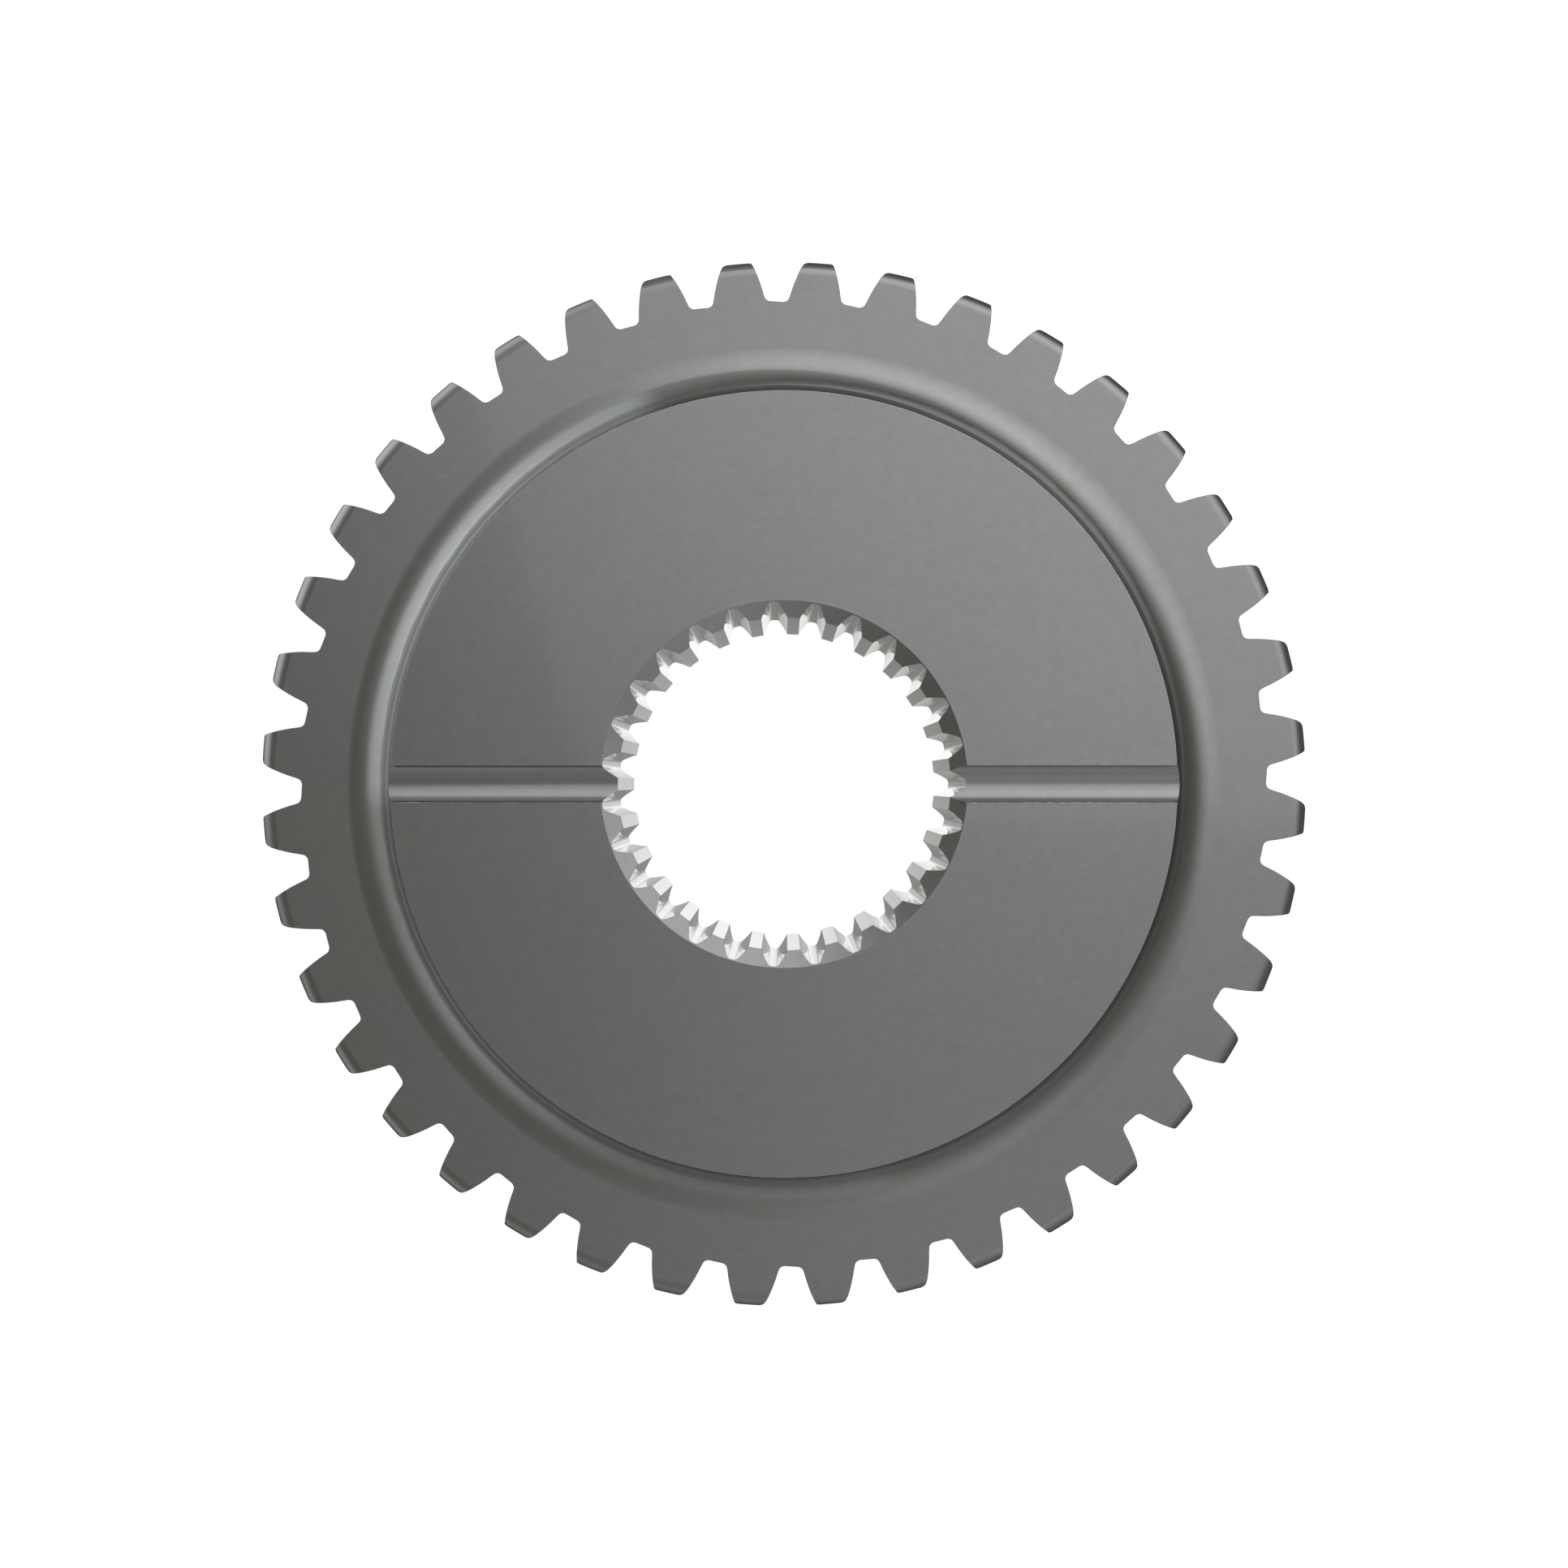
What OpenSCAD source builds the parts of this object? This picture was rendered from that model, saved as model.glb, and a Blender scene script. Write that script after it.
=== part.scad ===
// Spur gear with a raised hub, a splined bore and two oil grooves across the hub face.
// The gear lies on its rear face: the bore axis is Z, and the origin is on it, in the rear face.

/* [Outer teeth] */
// Number of outer teeth
tooth_count = 40; // [38:1:56]
// Teeth per inch of pitch diameter
diametral_pitch = 6; // [4.5:0.25:6.25]
// Mean pressure angle of the tooth flanks, degrees
pressure_angle = 19.5; // [17:0.5:24]
// Height of a tooth above the pitch circle, in modules
addendum = 0.75; // [0.65:0.05:0.9]
// Depth of a tooth space below the pitch circle, in modules
dedendum = 0.89; // [0.8:0.01:1]
// Share of the circular pitch that is tooth at the pitch circle
tooth_share = 0.536; // [0.48:0.002:0.55]
// Lean of each tooth space from the radial line, degrees
space_lean = 1.5; // [0:0.1:3]
// Slope of the floor of each tooth space, degrees
floor_slope = 4.3; // [0:0.1:6]
// Radius of the fillets at the foot of the teeth
root_fillet = 1.1; // [0.4:0.1:1.3]
// Rounding of the tooth corner on the leading side
leading_round = 1.3; // [0.3:0.1:1.6]
// Rounding of the tooth corner on the trailing side
trailing_round = 0.8; // [0.3:0.1:1.6]
// Turn of the outer teeth against the splines, degrees
tooth_phase = 0.77; // [0:0.01:9]

/* [Wheel] */
// Width of the toothed rim along the axis
rim_width = 41; // [20:0.5:60]
// Radius of the rounding at the ends of the teeth
end_round_r = 2.7; // [2.5:0.1:6]
// Radial width of that rounding
end_round_w = 2.5; // [0.5:0.1:2.5]

/* [Hub] */
// Diameter of the hub face
hub_d = 130; // [80:1:130]
// Height of the hub face above the rim face
hub_height = 6.6; // [6.1:0.1:12]
// Lean of the hub's side wall from the axis, degrees
hub_wall_lean = 16.5; // [13:0.5:20]
// Radius of the fillet between the hub and the rim face
hub_fillet = 8.4; // [3:0.1:8.4]

/* [Splined bore] */
// Number of internal splines
spline_count = 27; // [20:1:27]
// Splines per inch of their pitch diameter
spline_pitch = 12; // [12:0.5:16]
// Pressure angle of the splines, degrees
spline_angle = 30; // [25:1:32]
// Rounding at the root of each spline space
spline_root_round = 0.8; // [0.2:0.1:0.9]
// Diameter of the lead-in bevel at the hub face
bevel_d = 60.7; // [60.5:0.1:70]
// Depth of the lead-in bevel
bevel_depth = 0.88; // [0.3:0.01:3]
// Edge break at the rear end of the bore
rear_break = 0.3; // [0.1:0.1:1]

/* [Oil grooves] */
// Width of the grooves at the hub face
groove_width = 6.25; // [3:0.05:8]
// Depth of the grooves
groove_depth = 1.5; // [0.5:0.1:3]

/* [Hidden] */
$fn = 192;
steel = [0.36, 0.36, 0.35];
inch = 25.4;
deg_per_rad = 180 / PI;
over = 2;

// Outer teeth
gear_module = inch / diametral_pitch;
pitch_r = gear_module * tooth_count / 2;
tip_r = pitch_r + addendum * gear_module;
root_r = pitch_r - dedendum * gear_module;
tooth_pitch_angle = 360 / tooth_count;
space_half_angle = (1 - tooth_share) * tooth_pitch_angle / 2;
flank_foot_r = root_r + 0.3 * gear_module;
flank_steps = 4;
round_steps = 3;

// Hub
total_width = rim_width + hub_height;
hub_r = hub_d / 2;
wall_tilt = 90 - hub_wall_lean;
fillet_height = hub_fillet * (1 - cos(wall_tilt));
wall_height = hub_height - fillet_height;
wall_foot_r = hub_r + wall_height * tan(hub_wall_lean);
fillet_outer_r = wall_foot_r + hub_fillet * sin(wall_tilt);

// Splines
spline_module = inch / spline_pitch;
spline_pitch_r = spline_module * spline_count / 2;
minor_r = spline_module * (spline_count - 1) / 2;
major_r = spline_module * (spline_count + 1.5) / 2;
spline_half_angle = 90 / spline_count;

// Oil grooves: a round-bottomed section
groove_r = (pow(groove_width / 2, 2) + pow(groove_depth, 2)) / (2 * groove_depth);
groove_centre_z = total_width - groove_depth + groove_r;
groove_steps = 24;

// Involute function, in degrees
function involute(angle) = tan(angle) * deg_per_rad - angle;

// Point at a radius and an angle
function at(r, angle) = [r * cos(angle), r * sin(angle)];

// Point turned about another point
function turned(p, centre, angle) =
    let (d = p - centre)
    centre + [d.x * cos(angle) - d.y * sin(angle), d.x * sin(angle) + d.y * cos(angle)];

// Half angle at radius r of a space whose flanks open outwards
function opening_half(r, r_pitch, half, angle) =
    half - involute(angle) + involute(acos(r_pitch * cos(angle) / r));

// Half angle at radius r of a space whose flanks close outwards
function closing_half(r, r_pitch, half, angle) =
    half + involute(angle) - involute(acos(r_pitch * cos(angle) / r));

// Points of an arc that rounds the corner at b between the lines to a and to c.
// Only the first "last" steps of the whole arc are given.
function rounded(a, b, c, r, steps, last) =
    let (u = (a - b) / norm(a - b))
    let (v = (c - b) / norm(c - b))
    let (half = acos(u * v) / 2)
    let (start = b + u * r / tan(half))
    let (side = sign(u.x * v.y - u.y * v.x))
    let (centre = start + side * r * [-u.y, u.x])
    [for (i = [0 : last]) turned(start, centre, -side * (180 - 2 * half) * i / steps)];

// One flank of a tooth space, from above the tip circle down to the fillet at its floor.
// side is 1 for the flank at the larger angle and -1 for the other.
function flank(side, corner_round) =
    let (centre = [pitch_r, 0])
    let (lean = -space_lean)
    let (points = [for (i = [0 : flank_steps])
        let (r = tip_r + (flank_foot_r - tip_r) * i / flank_steps)
        turned(at(r, side * opening_half(r, pitch_r, space_half_angle, pressure_angle)), centre, lean)])
    let (corner = points[0])
    let (land = turned(corner, [0, 0], side * tooth_pitch_angle / 8))
    let (arc = rounded(points[1], corner, land, corner_round, round_steps, round_steps - 1))
    let (heading = arc[round_steps - 1] - arc[round_steps - 2])
    concat(
        [arc[round_steps - 1] + heading * over * 2],
        [for (i = [round_steps - 1 : -1 : 0]) arc[i]],
        [for (i = [1 : flank_steps]) points[i]]
    );

// Corner where a flank, drawn on straight, meets the sloping floor
function foot_corner(p, q) =
    let (d = q - p)
    let (slope = [sin(floor_slope), cos(floor_slope)])
    let (from_floor = [root_r, 0] - p)
    p + d * (from_floor.x * slope.y - from_floor.y * slope.x) / (d.x * slope.y - d.y * slope.x);

// Outline of one tooth space about the X axis, from the larger angle to the smaller
function tooth_space() =
    let (high = flank(1, trailing_round))
    let (low = flank(-1, leading_round))
    let (n = len(high))
    let (high_corner = foot_corner(high[n - 2], high[n - 1]))
    let (low_corner = foot_corner(low[n - 2], low[n - 1]))
    concat(
        high,
        rounded(high[n - 1], high_corner, low_corner, root_fillet, round_steps, round_steps),
        [for (i = [round_steps : -1 : 0])
            rounded(low[n - 1], low_corner, high_corner, root_fillet, round_steps, round_steps)[i]],
        [for (i = [n - 1 : -1 : 0]) low[i]]
    );

// One side of a spline space, from inside the bore out to the rounded root
function spline_side(side) =
    let (points = [for (i = [0 : flank_steps])
        let (r = minor_r - over / 4 + (major_r - minor_r + over / 4) * i / flank_steps)
        at(r, side * closing_half(r, spline_pitch_r, spline_half_angle, spline_angle))])
    concat(
        [for (i = [0 : flank_steps - 1]) points[i]],
        rounded(points[flank_steps - 1], points[flank_steps], [major_r, 0],
            spline_root_round, round_steps, round_steps)
    );

// Outline of one spline space about the X axis, from the smaller angle to the larger
function spline_space() =
    let (low = spline_side(-1))
    let (high = spline_side(1))
    concat(low, [for (i = [len(high) - 1 : -1 : 0]) high[i]]);

// Section of a groove: the lower half of a circle, with straight sides above it
function groove_section() =
    let (top = groove_centre_z + groove_depth)
    concat(
        [for (i = [0 : groove_steps]) [0, groove_centre_z] + at(groove_r, 180 + 180 * i / groove_steps)],
        [[groove_r, top], [-groove_r, top]]
    );

// Half section of the turned blank, before teeth, splines and grooves are cut
module blank_section() {
    difference() {
        polygon([
            [minor_r, rear_break],
            [minor_r + rear_break, 0],
            [tip_r, 0],
            [tip_r, rim_width],
            [fillet_outer_r, rim_width],
            [wall_foot_r, total_width - wall_height],
            [hub_r, total_width],
            [bevel_d / 2, total_width],
            [minor_r, total_width - bevel_depth]
        ]);
        translate([fillet_outer_r, rim_width + hub_fillet])
            circle(r = hub_fillet);
        tooth_end_waste();
        translate([0, rim_width])
            mirror([0, 1])
                tooth_end_waste();
    }
}

// Metal turned away where a tooth end is rounded, at the rear face
module tooth_end_waste() {
    arc_drop = end_round_r - sqrt(pow(end_round_r, 2) - pow(end_round_w, 2));
    difference() {
        polygon([
            [tip_r - end_round_w, end_round_r],
            [tip_r - end_round_w, -over],
            [tip_r + over, -over],
            [tip_r + over, arc_drop],
            [tip_r, arc_drop]
        ]);
        translate([tip_r - end_round_w, end_round_r])
            circle(r = end_round_r);
    }
}

// Toothed prism that the blank is trimmed to
module tooth_prism() {
    outline = tooth_space();
    rotate(tooth_phase)
        translate([0, 0, -over])
            linear_extrude(total_width + 2 * over)
                polygon([
                    for (i = [0 : tooth_count - 1])
                        for (k = [len(outline) - 1 : -1 : 0])
                            turned(outline[k], [0, 0], i * tooth_pitch_angle)
                ]);
}

// The spline spaces, as one star-shaped prism that reaches inside the bore
module spline_prism() {
    outline = spline_space();
    translate([0, 0, -over])
        linear_extrude(total_width + 2 * over)
            polygon([
                for (i = [0 : spline_count - 1])
                    for (p = outline)
                        turned(p, [0, 0], i * 360 / spline_count)
            ]);
}

// Both oil grooves, cut in one pass across the hub face
module groove_cutter() {
    reach = hub_r + over * 2;
    translate([-reach, 0, 0])
        rotate([90, 0, 90])
            linear_extrude(2 * reach)
                polygon(groove_section());
}

// The turned blank with the oil grooves milled across its hub face.
// It is turned a quarter, so that its seam lies away from the grooves.
module grooved_blank() {
    difference() {
        rotate(90)
            rotate_extrude()
                blank_section();
        groove_cutter();
    }
}

module gear_wheel() {
    color(steel)
        difference() {
            intersection() {
                grooved_blank();
                tooth_prism();
            }
            spline_prism();
        }
}

gear_wheel();
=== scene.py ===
import math

import bmesh
import bpy
import numpy as np
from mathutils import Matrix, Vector


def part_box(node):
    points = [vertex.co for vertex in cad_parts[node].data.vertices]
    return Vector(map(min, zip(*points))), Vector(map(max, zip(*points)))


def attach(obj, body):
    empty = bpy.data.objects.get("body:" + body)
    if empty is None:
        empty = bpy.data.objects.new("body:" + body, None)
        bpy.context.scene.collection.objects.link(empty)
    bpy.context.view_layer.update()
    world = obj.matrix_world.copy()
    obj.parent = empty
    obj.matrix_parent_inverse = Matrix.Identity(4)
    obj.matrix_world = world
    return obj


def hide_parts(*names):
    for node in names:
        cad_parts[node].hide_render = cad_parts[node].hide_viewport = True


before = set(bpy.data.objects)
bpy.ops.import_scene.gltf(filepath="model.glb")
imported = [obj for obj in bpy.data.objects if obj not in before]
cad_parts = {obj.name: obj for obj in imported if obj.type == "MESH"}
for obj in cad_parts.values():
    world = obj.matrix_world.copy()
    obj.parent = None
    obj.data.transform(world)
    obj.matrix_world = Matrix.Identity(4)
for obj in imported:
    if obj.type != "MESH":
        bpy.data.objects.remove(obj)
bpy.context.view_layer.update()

# A dark satin steel spur gear, lying on its rear face on a white floor, seen from straight above.
# The bore axis is Z. Lengths are in millimetres until the points become a mesh, which is in metres.

MM = 0.001
INCH = 25.4
NODE = "gear_wheel"
low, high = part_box(NODE)

# Outer teeth
TOOTH_COUNT = 40
MODULE = INCH / 6
PRESSURE_ANGLE = math.radians(19.5)
PITCH_R = MODULE * TOOTH_COUNT / 2
TIP_R = PITCH_R + 0.75 * MODULE
ROOT_R = PITCH_R - 0.89 * MODULE
TOOTH_PITCH = 2 * math.pi / TOOTH_COUNT
TOOTH_SHARE = 0.536
SPACE_HALF = (1 - TOOTH_SHARE) * TOOTH_PITCH / 2
SPACE_LEAN = math.radians(1.5)
FLOOR_SLOPE = math.radians(4.3)
ROOT_FILLET = 1.1
FLANK_FOOT_R = ROOT_R + 0.3 * MODULE
LEADING_ROUND = 1.3
TRAILING_ROUND = 0.8
TOOTH_PHASE = math.radians(0.77)

# Rim and hub
TOTAL_WIDTH = (high.z - low.z) / MM
HUB_HEIGHT = 6.6
RIM_WIDTH = TOTAL_WIDTH - HUB_HEIGHT
END_ROUND_R = 2.7
END_ROUND_START = TIP_R - 2.5
HUB_R = 65.0
HUB_WALL_LEAN = math.radians(16.5)
HUB_FILLET = 8.4
WALL_HEIGHT = HUB_HEIGHT - HUB_FILLET * (1 - math.sin(HUB_WALL_LEAN))
WALL_FOOT_R = HUB_R + WALL_HEIGHT * math.tan(HUB_WALL_LEAN)
FILLET_CENTRE_R = WALL_FOOT_R + HUB_FILLET * math.cos(HUB_WALL_LEAN)
FILLET_CENTRE_Z = RIM_WIDTH + HUB_FILLET

# Splined bore
SPLINE_COUNT = 27
SPLINE_MODULE = INCH / 12
SPLINE_ANGLE = math.radians(30)
SPLINE_PITCH_R = SPLINE_MODULE * SPLINE_COUNT / 2
MINOR_R = SPLINE_MODULE * (SPLINE_COUNT - 1) / 2
MAJOR_R = SPLINE_MODULE * (SPLINE_COUNT + 1.5) / 2
SPLINE_HALF = math.pi / 2 / SPLINE_COUNT
SPLINE_ROOT_ROUND = 0.8
BEVEL_R = 30.35
BEVEL_DEPTH = 0.88
REAR_BREAK = 0.3

# Oil grooves
GROOVE_WIDTH = 6.25
GROOVE_DEPTH = 1.5
GROOVE_R = (GROOVE_WIDTH ** 2 / 4 + GROOVE_DEPTH ** 2) / (2 * GROOVE_DEPTH)
GROOVE_CENTRE_Z = TOTAL_WIDTH - GROOVE_DEPTH + GROOVE_R
CUTTER_FLARE = 2.0
CUTTER_OVERRUN = 4.0

# Edges are broken by this much, and the sharper upper lips of the grooves by less
EDGE_BREAK = 0.1
BURR_BREAK = 0.03

# A short way down a flank, which is enough to tell which way it runs
SHORT_WAY = 0.3

# Mesh density. Both the tooth columns and the spline columns make 1080 columns in all.
LAND_STEPS = 11
FLOOR_STEPS = 6
FOOT_STEPS = 5
FLANK_STEPS = 16
LOWER_FLANK_STEPS = 3
CORNER_STEPS = 7
SPLINE_LAND_STEPS = 8
SPLINE_FLANK_STEPS = 8
SPLINE_ROUND_STEPS = 6
SPLINE_ROOT_STEPS = 4
FILLET_STEPS = 20
GROOVE_STEPS = 64
FRONT_STEPS = 4
REAR_STEPS = 8
BEVEL_STEPS = 2

# Kinds of surface, which decide how each one is shaded
KINDS = ["flat", "tooth_end", "wall", "fillet", "hub_wall", "bevel", "rear_chamfer", "edge", "groove"]
FLAT, TOOTH_END, WALL, FILLET, HUB_WALL, BEVEL, REAR_CHAMFER, EDGE, GROOVE = range(len(KINDS))


# ---------------------------------------------------------------- outlines

def involute(angle):
    return math.tan(angle) - angle


def at(r, angle):
    return np.array([r * math.cos(angle), r * math.sin(angle)])


def turned(points, angle, centre=(0.0, 0.0)):
    c, s = math.cos(angle), math.sin(angle)
    return (np.asarray(points) - centre) @ np.array([[c, s], [-s, c]]) + centre


def unit(v):
    return v / np.linalg.norm(v)


def rounded(a, b, c, r, steps):
    """Points of an arc of radius r that rounds the corner at b between the lines to a and to c."""
    u, v = unit(a - b), unit(c - b)
    half = math.acos(float(u @ v)) / 2
    start = b + u * r / math.tan(half)
    side = math.copysign(1, u[0] * v[1] - u[1] * v[0])
    centre = start + side * r * np.array([-u[1], u[0]])
    return [turned(start, -side * (math.pi - 2 * half) * i / steps, centre) for i in range(steps + 1)]


def involute_half(r, pitch_r, half, angle, opening):
    """Half angle at radius r of a space between involute flanks, which open or close outwards."""
    change = involute(math.acos(pitch_r * math.cos(angle) / r)) - involute(angle)
    return half + change if opening else half - change


def tooth_flank(side, corner_round):
    """One side of a tooth space, from the fillet at its floor up to the tip circle."""
    lean_centre = np.array([PITCH_R, 0.0])

    def flank_point(r):
        half = involute_half(r, PITCH_R, SPACE_HALF, PRESSURE_ANGLE, True)
        return turned(at(r, side * half), -SPACE_LEAN, lean_centre)

    corner = flank_point(TIP_R)
    corner = corner * TIP_R / np.linalg.norm(corner)
    below = flank_point(TIP_R - SHORT_WAY)
    land = corner + side * np.array([-corner[1], corner[0]]) / TIP_R
    arc = rounded(below, corner, land, corner_round, CORNER_STEPS)
    top_r = np.linalg.norm(arc[0])
    radii = np.concatenate([
        np.linspace(FLANK_FOOT_R, END_ROUND_START, LOWER_FLANK_STEPS + 1)[:-1],
        np.linspace(END_ROUND_START, top_r, FLANK_STEPS - LOWER_FLANK_STEPS + 1)[:-1],
    ])
    flank = [flank_point(r) for r in radii]
    return flank, arc


def foot_corner(p, q):
    """Where the line from p through q meets the sloping floor of the space."""
    d = q - p
    slope = np.array([math.sin(FLOOR_SLOPE), math.cos(FLOOR_SLOPE)])
    to_floor = np.array([ROOT_R, 0.0]) - p
    return p + d * (to_floor[0] * slope[1] - to_floor[1] * slope[0]) / (d[0] * slope[1] - d[1] * slope[0])


def tooth_space():
    """One tooth space about the X axis: its low side, floor and high side, each upwards in angle."""
    high_flank, high_arc = tooth_flank(1, TRAILING_ROUND)
    low_flank, low_arc = tooth_flank(-1, LEADING_ROUND)
    high_corner = foot_corner(high_flank[1], high_flank[0])
    low_corner = foot_corner(low_flank[1], low_flank[0])
    low_foot = rounded(low_flank[0], low_corner, high_corner, ROOT_FILLET, FOOT_STEPS)
    high_foot = rounded(high_flank[0], high_corner, low_corner, ROOT_FILLET, FOOT_STEPS)[::-1]
    floor = [low_foot[-1] + (high_foot[0] - low_foot[-1]) * i / FLOOR_STEPS for i in range(1, FLOOR_STEPS)]
    low_side = np.array(low_flank + low_arc)[::-1]
    high_side = np.array(high_flank + high_arc)
    return low_side, np.array(low_foot + floor + high_foot), high_side


def spline_period():
    """Outline of one spline space and the land after it, upwards in angle from the middle of the space."""
    def flank_point(r):
        return at(r, involute_half(r, SPLINE_PITCH_R, SPLINE_HALF, SPLINE_ANGLE, False))

    corner = flank_point(MAJOR_R)
    below = flank_point(MAJOR_R - SHORT_WAY)
    arc = rounded(at(MAJOR_R, 0), corner, below, SPLINE_ROOT_ROUND, SPLINE_ROUND_STEPS)
    radii = np.linspace(np.linalg.norm(arc[-1]), MINOR_R, SPLINE_FLANK_STEPS + 1)
    flank = [flank_point(r) for r in radii[1:]]
    root = [arc[0] * i / (SPLINE_ROOT_STEPS // 2) for i in range(SPLINE_ROOT_STEPS // 2)]
    root = [np.array([arc[0][0], p[1]]) for p in root]
    pitch = 2 * math.pi / SPLINE_COUNT
    start = math.atan2(flank[-1][1], flank[-1][0])
    land_steps = [start + (pitch - 2 * start) * i / SPLINE_LAND_STEPS for i in range(1, SPLINE_LAND_STEPS)]
    land = [at(MINOR_R, angle) for angle in land_steps]
    rising = root + arc + flank
    falling = [turned([p[0], -p[1]], pitch) for p in rising[:0:-1]]
    return np.array(rising + land + falling)


def outward(points):
    """Unit normals of a closed outline that runs anticlockwise, pointing out of it."""
    ahead = np.roll(points, -1, 0) - points
    behind = points - np.roll(points, 1, 0)
    ahead /= np.linalg.norm(ahead, axis=1)[:, None]
    behind /= np.linalg.norm(behind, axis=1)[:, None]
    along = ahead + behind
    along /= np.linalg.norm(along, axis=1)[:, None]
    stretch = 1 / np.maximum(0.5, np.sum(along * ahead, axis=1))
    return np.stack([along[:, 1], -along[:, 0]], 1) * stretch[:, None]


# ---------------------------------------------------------------- heights

def end_drop(r):
    """How far the rounded tooth end has dropped below the rim face at radius r."""
    run = np.maximum(r - END_ROUND_START, 0)
    return END_ROUND_R - np.sqrt(END_ROUND_R ** 2 - run ** 2)


def bevel_z(r):
    """Height of the hub face and of the bevel inside it."""
    return TOTAL_WIDTH - BEVEL_DEPTH * np.clip((BEVEL_R - r) / (BEVEL_R - MINOR_R), 0, 1)


def rear_z(r):
    """Height of the chamfer at the rear end of the bore, which is 0 on the rear face."""
    return np.maximum(REAR_BREAK - (r - MINOR_R), 0)


# ---------------------------------------------------------------- mesh

class Skin:
    """Gathers quads, row by row, with the kind of surface that each one belongs to."""

    def __init__(self):
        self.points, self.faces, self.kinds, self.count = [], [], [], 0

    def add(self, rows, kind, closed=True):
        rows = np.asarray(rows, float)
        n_rows, n_columns = rows.shape[:2]
        index = self.count + np.arange(n_rows * n_columns).reshape(n_rows, n_columns)
        right = np.roll(index, -1, 1) if closed else index[:, 1:]
        left = index if closed else index[:, :-1]
        quads = np.stack([left[:-1], right[:-1], right[1:], left[1:]], -1).reshape(-1, 4)
        self.points.append(rows.reshape(-1, 3))
        self.faces.append(quads)
        self.kinds.append(np.full(len(quads), kind))
        self.count += n_rows * n_columns


def polar(points):
    return np.linalg.norm(points, axis=-1), np.unwrap(np.arctan2(points[..., 1], points[..., 0]))


def lifted(points, z):
    """Plane points at a height, which may differ from point to point."""
    return np.concatenate([points, np.broadcast_to(z, points.shape[:-1])[..., None]], -1)


def ring(r, angles, z):
    r = np.broadcast_to(r, angles.shape)
    return lifted(np.stack([r * np.cos(angles), r * np.sin(angles)], -1), z)


def tooth_outline():
    """The whole toothed outline, and how many of its points each part of a tooth takes."""
    low_side, floor, high_side = tooth_space()
    next_low = turned(low_side, TOOTH_PITCH)
    _, ends = polar(np.array([high_side[-1], next_low[0]]))
    land = [at(TIP_R, ends[0] + (ends[1] - ends[0]) * i / LAND_STEPS) for i in range(1, LAND_STEPS)]
    period = np.concatenate([low_side, floor[1:-1], high_side, land])
    turns = TOOTH_PHASE + TOOTH_PITCH * np.arange(TOOTH_COUNT)
    outline = np.concatenate([turned(period, turn) for turn in turns])
    return outline, len(period), len(low_side), len(floor) - 2


def tooth_face(skin, inset, z_of, period, side, floor):
    """The face of the teeth on one side of the gear. Returns the points that it ends in, inwards."""
    base = []
    n = len(inset)
    for tooth in range(TOOTH_COUNT):
        first = tooth * period
        low_foot = first + side - 1
        high_foot = low_foot + floor + 1
        base.append(inset[low_foot:high_foot + 1])
        land = np.arange(high_foot + side - 1, first + period + 1) % n
        left = inset[high_foot:high_foot + side]
        right = inset[(first + period + side - 1 - np.arange(side)) % n]
        left_r, left_angle = polar(left)
        right_r, right_angle = polar(right)
        right_angle = left_angle + (right_angle - left_angle + math.pi) % (2 * math.pi) - math.pi
        share = np.linspace(0, 1, LAND_STEPS + 1)
        r = left_r[:, None] * (1 - share) + right_r[:, None] * share
        angle = left_angle[:, None] * (1 - share) + right_angle[:, None] * share
        grid = np.stack([r * np.cos(angle), r * np.sin(angle)], -1)
        grid[-1] = inset[land]
        base.append(grid[0][1:-1])
        flat_rows = int(np.sum(np.maximum(left_r, right_r) <= END_ROUND_START + EDGE_BREAK))
        rows = lifted(grid, z_of(np.linalg.norm(grid, axis=-1)))
        skin.add(rows[:flat_rows], FLAT, closed=False)
        skin.add(rows[flat_rows - 1:], TOOTH_END, closed=False)
    return np.concatenate(base)


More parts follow.
